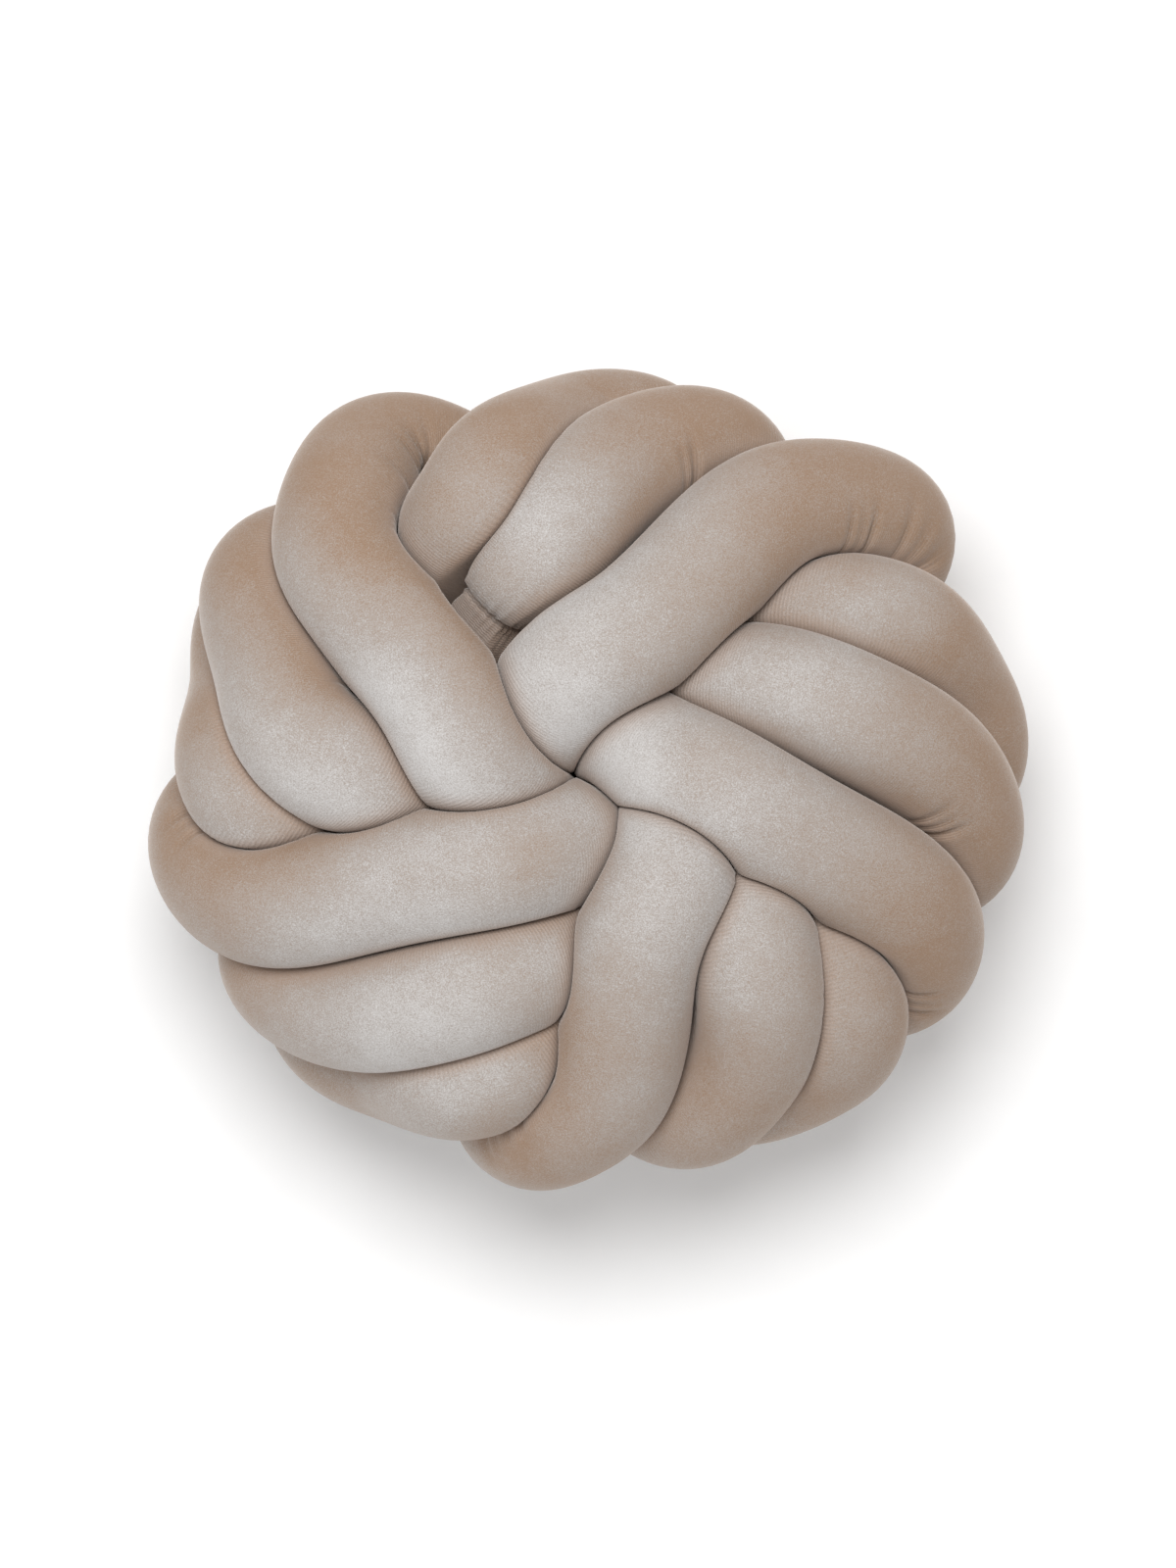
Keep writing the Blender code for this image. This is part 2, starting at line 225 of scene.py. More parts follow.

# Spots of painted sheen and painted shade on the face: more silvery, or browner where it is below
# nought.
SheenSpot = namedtuple("SheenSpot", "x y silver spread")
SHEEN_AND_SHADE_SPOTS = (
    SheenSpot(-0.098, 0.118, -0.16, 0.036),
    SheenSpot(-0.081, 0.140, -0.35, 0.024),
    SheenSpot(-0.092, 0.081, -0.12, 0.028),
    SheenSpot(-0.050, 0.036, -0.20, 0.022),
    SheenSpot(-0.075, 0.026, 0.18, 0.020),
    SheenSpot(-0.119, 0.064, -0.10, 0.030),
    SheenSpot(-0.147, 0.065, 0.15, 0.028),
    SheenSpot(-0.113, 0.020, -0.10, 0.025),
    SheenSpot(-0.053, 0.124, -0.15, 0.030),
    SheenSpot(-0.062, 0.104, -0.25, 0.018),
    SheenSpot(-0.036, 0.080, -0.25, 0.016),
    SheenSpot(0.013, 0.115, 0.12, 0.028),
    SheenSpot(0.036, 0.085, -0.10, 0.022),
    SheenSpot(0.072, 0.121, 0.18, 0.020),
    SheenSpot(0.100, 0.116, -0.18, 0.028),
    SheenSpot(0.036, 0.139, 0.12, 0.022),
    SheenSpot(-0.007, 0.024, 0.15, 0.025),
    SheenSpot(0.135, 0.070, 0.20, 0.030),
    SheenSpot(0.074, 0.044, -0.12, 0.020),
    SheenSpot(0.009, 0.004, 0.35, 0.022),
    SheenSpot(0.042, 0.006, -0.20, 0.025),
    SheenSpot(0.130, 0.022, -0.12, 0.035),
    SheenSpot(0.142, -0.028, 0.15, 0.018),
    SheenSpot(0.127, 0.082, 0.12, 0.024),
    SheenSpot(0.123, -0.050, -0.32, 0.032),
    SheenSpot(0.015, -0.074, -0.10, 0.030),
    SheenSpot(-0.001, -0.108, -0.35, 0.030),
    SheenSpot(0.024, -0.124, 0.15, 0.018),
    SheenSpot(-0.009, -0.150, -0.10, 0.035),
    SheenSpot(0.052, -0.118, -0.24, 0.028),
    SheenSpot(0.069, -0.068, -0.16, 0.030),
    SheenSpot(-0.021, -0.034, -0.30, 0.025),
    SheenSpot(-0.048, -0.050, -0.12, 0.022),
    SheenSpot(-0.146, -0.045, -0.18, 0.030),
    SheenSpot(-0.112, -0.037, -0.10, 0.030),
    SheenSpot(-0.030, -0.096, -0.14, 0.022),
    SheenSpot(-0.066, -0.104, -0.12, 0.022),
    SheenSpot(-0.123, -0.086, 0.08, 0.030),
    SheenSpot(-0.080, -0.126, 0.25, 0.028),
    SheenSpot(-0.038, -0.142, -0.30, 0.018),
    SheenSpot(-0.040, -0.122, 0.15, 0.016),
)

# Uneven pile: how many patches to a metre, their detail, and how far they change the nap or shade.
Patch = namedtuple("Patch", "scale detail amount")
CLOUDS = Patch(30.0, 2.0, 0.60)
MOTTLING = Patch(170.0, 3.0, 0.30)
FLECKS = Patch(2000.0, 1.0, 1.5)
TUFTS = Patch(900.0, 1.0, 0.4)
RIBS_IN_CREASE = 0.50        # how much more the ribs show in a crease
RIBS_IN_OPEN = 0.06          # how much they show elsewhere
RIB_SHADE = 0.8              # share of a rib that shades the pile
FLECK_SHADE = 0.12           # how much flecks and ribs lighten and darken it
HIGHLIGHT_NAP = (0.9, 1.6)      # painted highlight: nap at which the pile's tips start to shine, and shine fully
CREASE_NARROWING = 5.0       # higher keeps the painted warm bounce light deeper in a crease
CREASE_BOUNCE_LIGHT = 0.6          # share of that painted bounce light in the deepest crease
RELIEF_STRENGTH = 0.35
RELIEF_HEIGHT = 0.0003

# How tubes press on each other and bend
PRESS_REACH = 2.6            # how far off a tube still presses, in radii
OWN_REACH = 1.1              # length within which a tube doesn't press on itself, in radii
FREE_REACH = 1.0             # how far off a side counts as pressed where it meets nothing
LEAST_BEND = 1.0             # straight sides count as bent this much: one over a radius in metres
BEND_WINDOW = 6              # stations on each side, every second one of which narrows a ring
SIGHT_WEIGHT = 0.3           # how much lower places count as further off, when seen from above

# Uneven filling: waves in the length of a tube, where they start, and how that shifts by the tube.
Wave = namedtuple("Wave", "turns start shift")
FILLING_WAVES = (
    Wave(7, 0.0, 0.0),
    Wave(12, 1.3, 1.0),
    Wave(19, 0.0, 2.1),
)
WAVE_UNIT = 1.5              # sum of the waves that makes the whole unevenness; peaks go past it

# Facets
PATH_STEPS = 60              # points on the middle line for each one given
KNOT_POWER = 0.6             # power of the distance between given points that spaces the curve
RINGS = 1400                 # stations along each tube
BEVEL_RESOLUTION = 32        # gives 68 sides
MERIDIAN_STEPS = 2000        # points on the wall's section
SEED = 7                     # of the small creases
TINY = 1e-6                  # keeps a divisor above nought

# The stage
Lamp = namedtuple("Lamp", "size place")
KEY_LAMP = Lamp(1.2, (-0.12, 0.72, 2.5))
FILL_LAMP = Lamp(1.6, (-1.1, -2.0, 1.0))
FLOOR_REACH = 6.0            # from the floor's middle to its sides
FLOOR_DROP = 0.0003          # keeps it clear of the tubes that lie flat on it
FLOOR_ROUGHNESS = 0.9
GRAIN_SCALE = 60.0           # patches of grain to a metre
GRAIN_DETAIL = 3.0
GRAIN_SHADE = 0.98           # of the floor's colour, where the grain is darkest
SENSOR_WIDTH = 36.0          # along the longer side of the picture, in millimetres
CAMERA_PLACE = (-0.0008, -0.0020)
RIM_HEIGHT = 0.1             # of the rim over the floor, nearly; the camera's distance starts there


# ---------------------------------------------------------------- sizes and colours a user may change

class KnotSizes(bpy.types.PropertyGroup):
    """Sizes of the knot and its tubes"""
    tube_radius: FloatProperty(
        name="Tube radius", description="Of a tube where nothing presses on it",
        default=0.028, unit="LENGTH")
    middle_radius: FloatProperty(
        name="Middle radius", description="From the axis to the middle of the wall of tubes",
        default=0.122, unit="LENGTH")
    face_height: FloatProperty(
        name="Face height", description="Of the wall's middle above the rim",
        default=0.056, unit="LENGTH")
    back_height: FloatProperty(
        name="Back height", description="Of the wall's middle below the rim",
        default=0.064, unit="LENGTH")
    squareness: FloatProperty(
        name="Squareness", description="Of the wall's section: 2 is an ellipse, more is boxier",
        default=2.5)
    layer_offset: FloatProperty(
        name="Layer offset", description="Of a tube on top, or beneath, from the wall's middle",
        default=0.021, unit="LENGTH")
    pressed_flat: FloatProperty(
        name="Pressed flat", description="How far the lowest tubes are flattened where they lie",
        default=0.010, unit="LENGTH")
    gap: FloatProperty(
        name="Gap", description="Between two tubes that press on each other",
        default=0.0003, unit="LENGTH")
    roundness: FloatProperty(
        name="Roundness", description="Higher makes a sharper edge where two tubes press",
        default=20.0)
    inner_bend: FloatProperty(
        name="Inner bend", description="Share of a bend's own radius that the tube may fill",
        default=0.80)
    unevenness: FloatProperty(
        name="Unevenness", description="Share by which the filling makes a tube thicker or thinner",
        default=0.012)


class ClothDetails(bpy.types.PropertyGroup):
    """Creases, gathers and the sewn join"""
    crease_spacing: FloatProperty(
        name="Crease spacing", description="Between the small creases inside a tight bend",
        default=0.0085, unit="LENGTH")
    crease_depth: FloatProperty(
        name="Crease depth", description="Of the deepest small crease",
        default=0.0012, unit="LENGTH")
    crease_width: FloatProperty(
        name="Crease width", description="Of a small crease or pucker",
        default=0.0016, unit="LENGTH")
    join_neck: FloatProperty(
        name="Join neck", description="Height left over the middle line where the ends are sewn",
        default=0.46, subtype="FACTOR")
    join_round: FloatProperty(
        name="Join rounding", description="Length over which the upper end rounds off",
        default=0.028, unit="LENGTH")
    join_taper: FloatProperty(
        name="Join taper", description="Length over which the lower end fills out again",
        default=0.065, unit="LENGTH")
    gathers: IntProperty(
        name="Gathers", description="Pleats round the sewn join", default=23)
    gather_depth: FloatProperty(
        name="Gather depth", description="Of a pleat at the join", default=0.0013, unit="LENGTH")
    gather_length: FloatProperty(
        name="Gather length", description="How far a pleat runs from the join",
        default=0.011, unit="LENGTH")
    lip_height: FloatProperty(
        name="Lip height", description="Of the two turned-in edges that the stitches hold",
        default=0.0012, unit="LENGTH")


class VelvetFinish(bpy.types.PropertyGroup):
    """Colours and pile of the velvet, with its painted sheen, highlight and crease light"""
    along: FloatVectorProperty(
        name="Pile lying away", description="Where the pile leans away and shows its colour",
        subtype="COLOR", size=3, default=(0.300, 0.197, 0.131), min=0.0, max=1.0)
    # painted sheen: the silvery colour of the pile where its tips catch the light
    sheen_colour: FloatVectorProperty(
        name="Pile facing", description="Where the pile's tips face outwards and look silvery",
        subtype="COLOR", size=3, default=(0.385, 0.350, 0.326), min=0.0, max=1.0)
    # painted highlight: the brightest silver
    highlight_tips: FloatVectorProperty(
        name="Pile tips", description="The brightest silver, where the pile stands upright",
        subtype="COLOR", size=3, default=(0.540, 0.525, 0.515), min=0.0, max=1.0)
    # painted bounce light: warm colour in the creases between tubes
    pressed: FloatVectorProperty(
        name="Pressed pile", description="In the creases between two tubes",
        subtype="COLOR", size=3, default=(0.420, 0.320, 0.260), min=0.0, max=1.0)
    rib: FloatProperty(
        name="Rib", description="Spacing of the knit's ribs", default=0.0010, unit="LENGTH")
    sheen: FloatProperty(
        name="Sheen", description="Strength of the pale rim on the pile", default=0.40,
        subtype="FACTOR")


class StageLight(bpy.types.PropertyGroup):
    """Floor, lamps and camera"""
    floor: FloatVectorProperty(
        name="Floor", description="Colour of the floor", subtype="COLOR", size=3,
        default=(0.95, 0.95, 0.95), min=0.0, max=1.0)
    sky: FloatProperty(
        name="Sky", description="Strength of the even light from all round", default=0.56)
    key: FloatProperty(
        name="Key", description="Power of the large lamp beyond the top of the face",
        default=47.0, unit="POWER")
    fill: FloatProperty(
        name="Fill", description="Power of the low lamp beyond the bottom of the face",
        default=9.0, unit="POWER")
    distance: FloatProperty(
        name="Camera distance", description="From the rim to the camera", default=3.2,
        unit="LENGTH")
    view_height: FloatProperty(
        name="View height", description="Height of what the camera takes in at the rim",
        default=0.640, unit="LENGTH")


# ---------------------------------------------------------------- the knot's middle lines

def smooth_step(value):
    """From 0 to 1 with an even start and end, and flat outside them."""
    value = np.clip(value, 0.0, 1.0)
    return value * value * (3.0 - 2.0 * value)


def closed_spline(knots, rows, at):
    """Cubic through rows at rising knots. The last row repeats the first, one turn later."""
    span = np.diff(knots)
    slope = np.diff(rows, axis=0) / span[:, None]
    count = len(span)
    before = np.roll(span, 1)
    matrix = np.zeros((count, count))
    index = np.arange(count)
    matrix[index, index] = 2.0 * (before + span)
    matrix[index, (index - 1) % count] += before
    matrix[index, (index + 1) % count] += span
    bend = np.linalg.solve(matrix, 6.0 * (slope - np.roll(slope, 1, axis=0)))
    bend = np.vstack([bend, bend[:1]])
    turn = knots[-1] - knots[0]
    at = (np.asarray(at) - knots[0]) % turn + knots[0]
    piece = np.clip(np.searchsorted(knots, at, side="right") - 1, 0, count - 1)
    step = (at - knots[piece])[:, None]
    left = (knots[piece + 1] - at)[:, None]
    width = span[piece][:, None]
    curve = (bend[piece] * left ** 3 + bend[piece + 1] * step ** 3) / (6.0 * width)
    line = (rows[piece] / width - bend[piece] * width / 6.0) * left
    return curve + line + (rows[piece + 1] / width - bend[piece + 1] * width / 6.0) * step


def meridian(sizes):
    """The wall's middle from the face's centre to the back's: depth, radius, height, normal."""
    angle = np.linspace(0.0, math.pi, MERIDIAN_STEPS)
    power = 2.0 / sizes.squareness
    height = np.where(np.cos(angle) > 0.0, sizes.face_height, sizes.back_height)
    radius = sizes.middle_radius * np.abs(np.sin(angle)) ** power
    level = height * np.sign(np.cos(angle)) * np.abs(np.cos(angle)) ** power
    length = np.r_[0.0, np.cumsum(np.hypot(np.diff(radius), np.diff(level)))]
    depth = np.linspace(0.0, length[-1], MERIDIAN_STEPS)
    radius = np.interp(depth, length, radius)
    level = np.interp(depth, length, level)
    across = np.gradient(radius, depth)
    down = np.gradient(level, depth)
    size = np.hypot(across, down)
    return depth, radius, level, -down / size, across / size


def swing_at(bearing):
    """The turn and the reach of the knot's bands at each bearing."""
    knots = np.array([row.bearing for row in SWINGS] + [SWINGS[0].bearing + 360.0])
    rows = np.array([(row.turn, row.reach) for row in SWINGS + SWINGS[:1]])
    return closed_spline(knots, rows, bearing).T


def pulled(points):
    """The points after every pull, which fades out below the rim."""
    level = points[:, 2]
    aside = smooth_step((level - PULL_FADE[0]) / PULL_FADE[1])
    outward = smooth_step((level - OUT_FADE[0]) / OUT_FADE[1])
    moved = points.copy()
    for pull in PULLS:
        distance = np.hypot(points[:, 0] - pull.x, points[:, 1] - pull.y)
        near = np.exp(-(distance / pull.spread) ** 2)
        moved[:, 0] += near * aside * pull.right
        moved[:, 1] += near * aside * pull.up
        moved[:, 2] += near * outward * pull.out
    return moved


def band_rows(tube, full_depth):
    """One band of a tube from back bend to back bend: bearing, depth, and layer, 1 on top."""
    top = []
    for beneath in TUBES:
        crossing = FACE_CROSSINGS[tube, beneath]
        proud = RIM_PROUD if (tube, beneath) == ("inner", "outer") else 1.0
        top.append((-crossing.bearing, crossing.depth, proud))
    if tube == "inner":
        top.append((-RIM_TURN.bearing, RIM_TURN.depth, RIM_PROUD))
    for over in TUBES:
        crossing = BACK_CROSSINGS[tube, over]
        top.append((-crossing.bearing, crossing.depth, -1.0))
    under = []
    for over in TUBES:
        crossing = FACE_CROSSINGS[over, tube]
        under.append((NEIGHBOUR_STEP - crossing.bearing, crossing.depth, -1.0))
    for beneath in TUBES:
        crossing = BACK_CROSSINGS[beneath, tube]
        under.append((2.0 * NEIGHBOUR_STEP - crossing.bearing, crossing.depth, 1.0))
    face_bend = (0.0, BENDS[tube].face_depth, 0.0)
    back_bend = (BEND_STEP, full_depth - BENDS[tube].back_depth, 0.0)
    return top[::-1] + [face_bend] + under + [back_bend]


def centreline(sizes, tube):
    """Evenly spaced points along the closed middle line of a tube."""
    depths, radii, levels, outward, upward = meridian(sizes)
    rows = []
    for band in range(BANDS):
        start = FIRST_BEND + 2.0 * BEND_STEP * band
        for bearing, depth, layer in band_rows(tube, depths[-1]):
            rows.append((start + bearing, depth, layer))
    bearing, depth, layer = np.array(rows).T
    fade_from, fade_over = SWING_FADE
    turn = swing_at(bearing)[0]
    bearing = bearing + turn * (1.0 - smooth_step((depth - fade_from) / fade_over))
    reach = swing_at(bearing)[1] * np.sin(math.pi * depth / depths[-1]) ** 2
    offset = sizes.layer_offset * layer
    radius = np.interp(depth, depths, radii) + reach + offset * np.interp(depth, depths, outward)
    level = np.interp(depth, depths, levels) + offset * np.interp(depth, depths, upward)
    angle = np.radians(bearing)
    points = np.stack([radius * np.cos(angle), radius * np.sin(angle), level], axis=1)
    points = np.vstack([points, points[:1]])
    span = np.linalg.norm(np.diff(points, axis=0), axis=1)
    knots = np.r_[0.0, np.cumsum(span ** KNOT_POWER)]
    fine = closed_spline(knots, points, np.linspace(0.0, knots[-1], PATH_STEPS * len(points))[:-1])
    fine = pulled(np.vstack([fine, fine[:1]]))
    length = np.r_[0.0, np.cumsum(np.linalg.norm(np.diff(fine, axis=0), axis=1))]
    at = np.linspace(0.0, length[-1], RINGS, endpoint=False)
    return np.stack([np.interp(at, length, fine[:, axis]) for axis in range(3)], axis=1)


def tube_paths(sizes):
    """The middle line of each tube, over the origin and resting on the surface."""
    paths = [centreline(sizes, tube) for tube in TUBES]
    everything = np.vstack(paths)
    lowest = everything.min(axis=0)
    highest = everything.max(axis=0)
    middle = (lowest + highest) / 2.0
    lift = sizes.tube_radius - sizes.pressed_flat - lowest[2]
    return [path + np.array([-middle[0], -middle[1], lift]) for path in paths]


def curvature(points):
    """The vector towards each bend's centre, as long as one over its radius."""
    before = np.roll(points, 1, axis=0)
    after = np.roll(points, -1, axis=0)
    step = np.linalg.norm(after - points, axis=1).mean()
    return (after - 2.0 * points + before) / step ** 2


# ---------------------------------------------------------------- the shape of a stuffed tube

class Tube:
    """One tube's stations: the middle line, and the direction and reach of each side from it.

    Room is how far a side could reach before it meets another tube, in shares of its full radius.
    Slack is the share of its length that the cloth keeps on the inside of a bend.
    """

    def __init__(self, path, places):
        step = np.linalg.norm(path[1] - path[0])
        self.path = path
        self.along = np.arange(len(path)) * step
        self.length = len(path) * step
        self.bend = curvature(path)
        offset = places - path[:, None]
        self.reach = np.linalg.norm(offset, axis=2)
        self.side = offset / self.reach[:, :, None]
        self.room = np.ones_like(self.reach)
        self.slack = np.ones_like(self.reach)

    def places(self):
        return self.path[:, None] + self.side * self.reach[:, :, None]

    def apart(self, station):
        """Signed length along the closed tube from a station to every other."""
        return (self.along - station + self.length / 2.0) % self.length - self.length / 2.0

    def nearest(self, x, y):
        """Ring and side of the surface point that is seen from above at x, y."""
        places = self.places()
        distance = np.hypot(places[:, :, 0] - x, places[:, :, 1] - y)
        distance = distance + SIGHT_WEIGHT * (places[:, :, 2].max() - places[:, :, 2])
        return np.unravel_index(distance.argmin(), distance.shape)


def swept_tube(name, points, radius, resolution):
    """A plain closed tube swept along the points."""
    curve = bpy.data.curves.new(name + "_path", "CURVE")
    curve.dimensions = "3D"
    curve.bevel_depth = radius
    curve.bevel_resolution = resolution
    spline = curve.splines.new("POLY")
    spline.points.add(len(points) - 1)
    spline.points.foreach_set("co", np.c_[points, np.ones(len(points))].ravel())
    spline.use_cyclic_u = True
    carrier = bpy.data.objects.new(name + "_path", curve)
    bpy.context.scene.collection.objects.link(carrier)
    graph = bpy.context.evaluated_depsgraph_get()
    mesh = bpy.data.meshes.new_from_object(carrier.evaluated_get(graph))
    bpy.data.objects.remove(carrier)
    bpy.data.curves.remove(curve)
    mesh.name = name
    return mesh


def filled_radius(tube, own, sizes):
    """The radius at each station where nothing presses, from the uneven filling."""
    wave = np.zeros(len(tube.path))
    for row in FILLING_WAVES:
        start = row.start + row.shift * own
        wave += np.sin(2.0 * math.pi * row.turns * tube.along / tube.length + start)
    return sizes.tube_radius * (1.0 + sizes.unevenness * wave / WAVE_UNIT)


def press(tube, own, paths, sizes):
    """Pulls each side in to the plane midway to whatever it meets, with a rounded edge."""
    full = filled_radius(tube, own, sizes)
    window = range(-BEND_WINDOW, BEND_WINDOW + 1, 2)
    bends = np.stack([np.roll(tube.bend, -step, axis=0) for step in window])
    for ring, centre in enumerate(tube.path):
        side = tube.side[ring]
        reach = np.full(len(side), FREE_REACH)
        for other, path in enumerate(paths):
            offset = path - centre
            distance = np.einsum("ij,ij->i", offset, offset)
            near = distance < (PRESS_REACH * sizes.tube_radius) ** 2
            if other == own:
                near &= np.abs(tube.apart(tube.along[ring])) > OWN_REACH * sizes.tube_radius
            if near.any():
                facing = np.maximum(side @ offset[near].T, TINY)
                reach = np.minimum(reach, (distance[near] / (2.0 * facing)).min(axis=1))
        pressed = reach - sizes.gap / 2.0
        inward = np.maximum((side @ bends[:, ring].T).max(axis=1), LEAST_BEND)
        pressed = np.minimum(pressed, sizes.inner_bend / inward)
        power = -sizes.roundness
        tube.reach[ring] = (full[ring] ** power + pressed ** power) ** (1.0 / power)
        tube.room[ring] = reach / full[ring]
        tube.slack[ring] = 1.0 - tube.reach[ring] * inward


def crease_bends(tube, own, cloth, sizes):
    """Small uneven creases across the inside of every tight bend."""
    dice = np.random.default_rng(SEED + own)
    tight = np.linalg.norm(tube.bend, axis=1)
    inner = np.einsum("rsi,ri->rs", tube.side, tube.bend) / np.maximum(tight, TINY)[:, None]
    start, more = TIGHT_BEND
    share = smooth_step((tight * sizes.tube_radius - start) / more)
    grooves = np.zeros_like(tube.reach)
    station = 0.0
    while station < tube.length:
        width = cloth.crease_width * dice.uniform(*CREASE_WIDTHS)
        depth = cloth.crease_depth * dice.uniform(*CREASE_DEPTHS)
        lean = dice.uniform(-CREASE_LEAN, CREASE_LEAN)
        edge = dice.uniform(*CREASE_EDGES)
        spread = smooth_step((inner - edge) / CREASE_FADE)
        place = tube.apart(station)[:, None] + lean * (1.0 - inner)
        grooves += depth * np.exp(-(place / width) ** 2) * spread
        station += cloth.crease_spacing * dice.uniform(*CREASE_GAPS)
    loose = smooth_step(tube.slack / SLACK_FOR_CREASES)
    tube.reach -= grooves * share[:, None] * loose


def pucker(tube, row, cloth):
    """A short row of puckers round a point on the face."""
    ring, side = tube.nearest(row.x, row.y)
    apart = tube.apart(tube.along[ring])
    around = np.einsum("rsi,i->rs", tube.side, tube.side[ring, side])
    angle = np.arccos(np.clip(around, -1.0, 1.0))
    fade = 1.0 - smooth_step(angle * tube.reach[ring, side] / row.reach)
    fade = fade * smooth_step(tube.slack / SLACK_FOR_PUCKERS)
    shared, varied = PUCKER_DEPTHS
    for number in range(row.count):
        place = apart - (number - (row.count - 1) / 2.0) * row.spacing
        groove = np.exp(-(place / cloth.crease_width) ** 2)
        depth = row.depth * (shared + varied * math.cos(PUCKER_TURN * number))
        tube.reach -= depth * groove[:, None] * fade


def gather_join(tube, cloth):
    """Draws the tube in where its two ends are sewn together, and pleats the cloth there."""
    ring = tube.nearest(*JOIN_PLACE)[0]
    apart = tube.apart(tube.along[ring])
    upper = 1.0 - np.clip(-apart / cloth.join_round, 0.0, 1.0)
    rounded = np.sqrt(1.0 - upper ** 2)
    tapered = smooth_step(apart / cloth.join_taper)
    share = np.where(apart < 0.0, rounded, tapered)
    drawn = (1.0 - cloth.join_neck) * (1.0 - share)
    sides, top = JOIN_DRAW
    tube.reach *= 1.0 - drawn[:, None] * (sides + top * tube.side[:, :, 2])
    turn = np.linspace(0.0, 2.0 * math.pi, tube.reach.shape[1], endpoint=False)
    stray, times = PLEAT_DRIFT
    pleat = 0.5 + 0.5 * np.cos(cloth.gathers * turn + stray * np.sin(times * turn))
    fade = np.exp(-np.abs(apart) / cloth.gather_length)
    tube.reach -= cloth.gather_depth * fade[:, None] * pleat
    lips = sum(np.exp(-((apart - place) / LIP_WIDTH) ** 2) for place in LIP_PLACES)
    stray, times = PUFF_DRIFT
    puff = 0.5 + 0.5 * np.sin(LIP_PUFFS * turn + stray * np.sin(times * turn))
    tube.reach += cloth.lip_height * lips[:, None] * puff


def rest_on_floor(tube):
    """Flattens the sides that would reach through the floor."""
    down = np.maximum(-tube.side[:, :, 2], TINY)
    tube.reach = np.minimum(tube.reach, tube.path[:, 2][:, None] / down)


def write_places(mesh, tube):
    mesh.vertices.foreach_set("co", tube.places().ravel())
    mesh.update()


def write_ribs(mesh, tube, rib):
    """A UV map with one unit for each of the knit's ribs, which run round the tube."""
    sides = tube.reach.shape[1]
    corners = np.empty(len(mesh.loops), np.int32)
    mesh.loops.foreach_get("vertex_index", corners)
    faces = corners.reshape(-1, 4)
    ring = faces // sides
    side = faces % sides
    ring = ring + RINGS * (ring.max(axis=1, keepdims=True) - ring > RINGS // 2)
    side = side + sides * (side.max(axis=1, keepdims=True) - side > sides // 2)
    ribs = round(tube.length / rib)
    while mesh.uv_layers:
        mesh.uv_layers.remove(mesh.uv_layers[0])
    layer = mesh.uv_layers.new(name="ribs")
    values = np.stack([ring * ribs / RINGS, side / sides], axis=2)
    layer.data.foreach_set("uv", values.astype(np.float32).ravel())


def write_nap(mesh, tube):
    """Two values on each vertex: how silvery its nap is, as painted sheen and shade, and how near it
    lies to a crease.
    """
    places = tube.places()
    normals = np.empty(len(mesh.vertices) * 3, np.float32)
    mesh.vertex_normals.foreach_get("vector", normals)
    normals = normals.reshape(RINGS, -1, 3)
    heading = np.roll(tube.path, -1, axis=0) - np.roll(tube.path, 1, axis=0)
    heading /= np.linalg.norm(heading, axis=1, keepdims=True)
    right = np.cross(heading, (0.0, 0.0, 1.0))
    right /= np.maximum(np.linalg.norm(right, axis=1, keepdims=True), UPRIGHT_FADE)
    height = places[:, :, 2] - SOLIDS_BOX[1][2] / 2.0
    level = np.sqrt(height ** 2 + RIM_LEVEL ** 2)
    flat = np.clip((level + NAP_START) / NAP_RISE, 0.0, 1.0)
    climb = np.clip(heading[:, 2][:, None] * np.clip(height / RIM_BLEND, -1.0, 1.0), 0.0, 1.0)
    across = np.einsum("rsi,ri->rs", normals, right)
    # painted sheen and shade: silvery on the face and back and on a tube's right side, brown round the
    # rim and where a tube climbs
    nap_sheen = SHEEN_FLAT * flat - NAP_CLIMB * climb + SHEEN_ACROSS * across - NAP_BASE
    # painted light: browner towards the right and top of the face, and on sides that face right and up
    nap_sheen = nap_sheen + places[:, :, :2] @ np.array(PAINTED_LIGHT_SLOPE) + normals[:, :, :2] @ np.array(PAINTED_FACING_LIGHT)
    face = smooth_step(height / SPOT_FADE)
    # painted sheen and shade in spots on the face
    for spot in SHEEN_AND_SHADE_SPOTS:
        distance = np.hypot(places[:, :, 0] - spot.x, places[:, :, 1] - spot.y)
        nap_sheen = nap_sheen + spot.silver * face * np.exp(-(distance / spot.spread) ** 2)
    # painted shade on a crease's left side, painted sheen on its right
    edge = 1.0 - smooth_step((tube.room - EDGE_START) / EDGE_REACH)
    shaded_brown, silvery_sheen = CREASE_SHADE_AND_SHEEN
    nap_sheen = nap_sheen + edge * np.abs(across) * np.where(across < 0.0, shaded_brown, silvery_sheen)
    nap_sheen = np.clip(NAP_MIDDLE + NAP_CONTRAST * (nap_sheen - NAP_MIDDLE), LEAST_NAP, MOST_NAP)
    for name, values in (("nap_sheen", nap_sheen), ("edge", edge)):
        mesh.attributes.new(name, "FLOAT", "POINT").data.foreach_set("value", values.ravel())


# ---------------------------------------------------------------- materials

def new_material(name):
    made = bpy.data.materials.new(name)
    made.use_nodes = True
    tree = made.node_tree
    return made, tree, tree.nodes["Principled BSDF"]


def opaque(colour):
    return (*colour, 1.0)


def feed(tree, node, values):
    """Gives a node's inputs numbers or colours, or links other nodes' outputs to them."""
    for name, value in values.items():
        if isinstance(value, bpy.types.NodeSocket):
            tree.links.new(value, node.inputs[name])
        else:
            node.inputs[name].default_value = value


def add_node(tree, kind, label, **settings):
    node = tree.nodes.new(kind)
    node.label = label
    for key, value in settings.items():
        setattr(node, key, value)
    return node


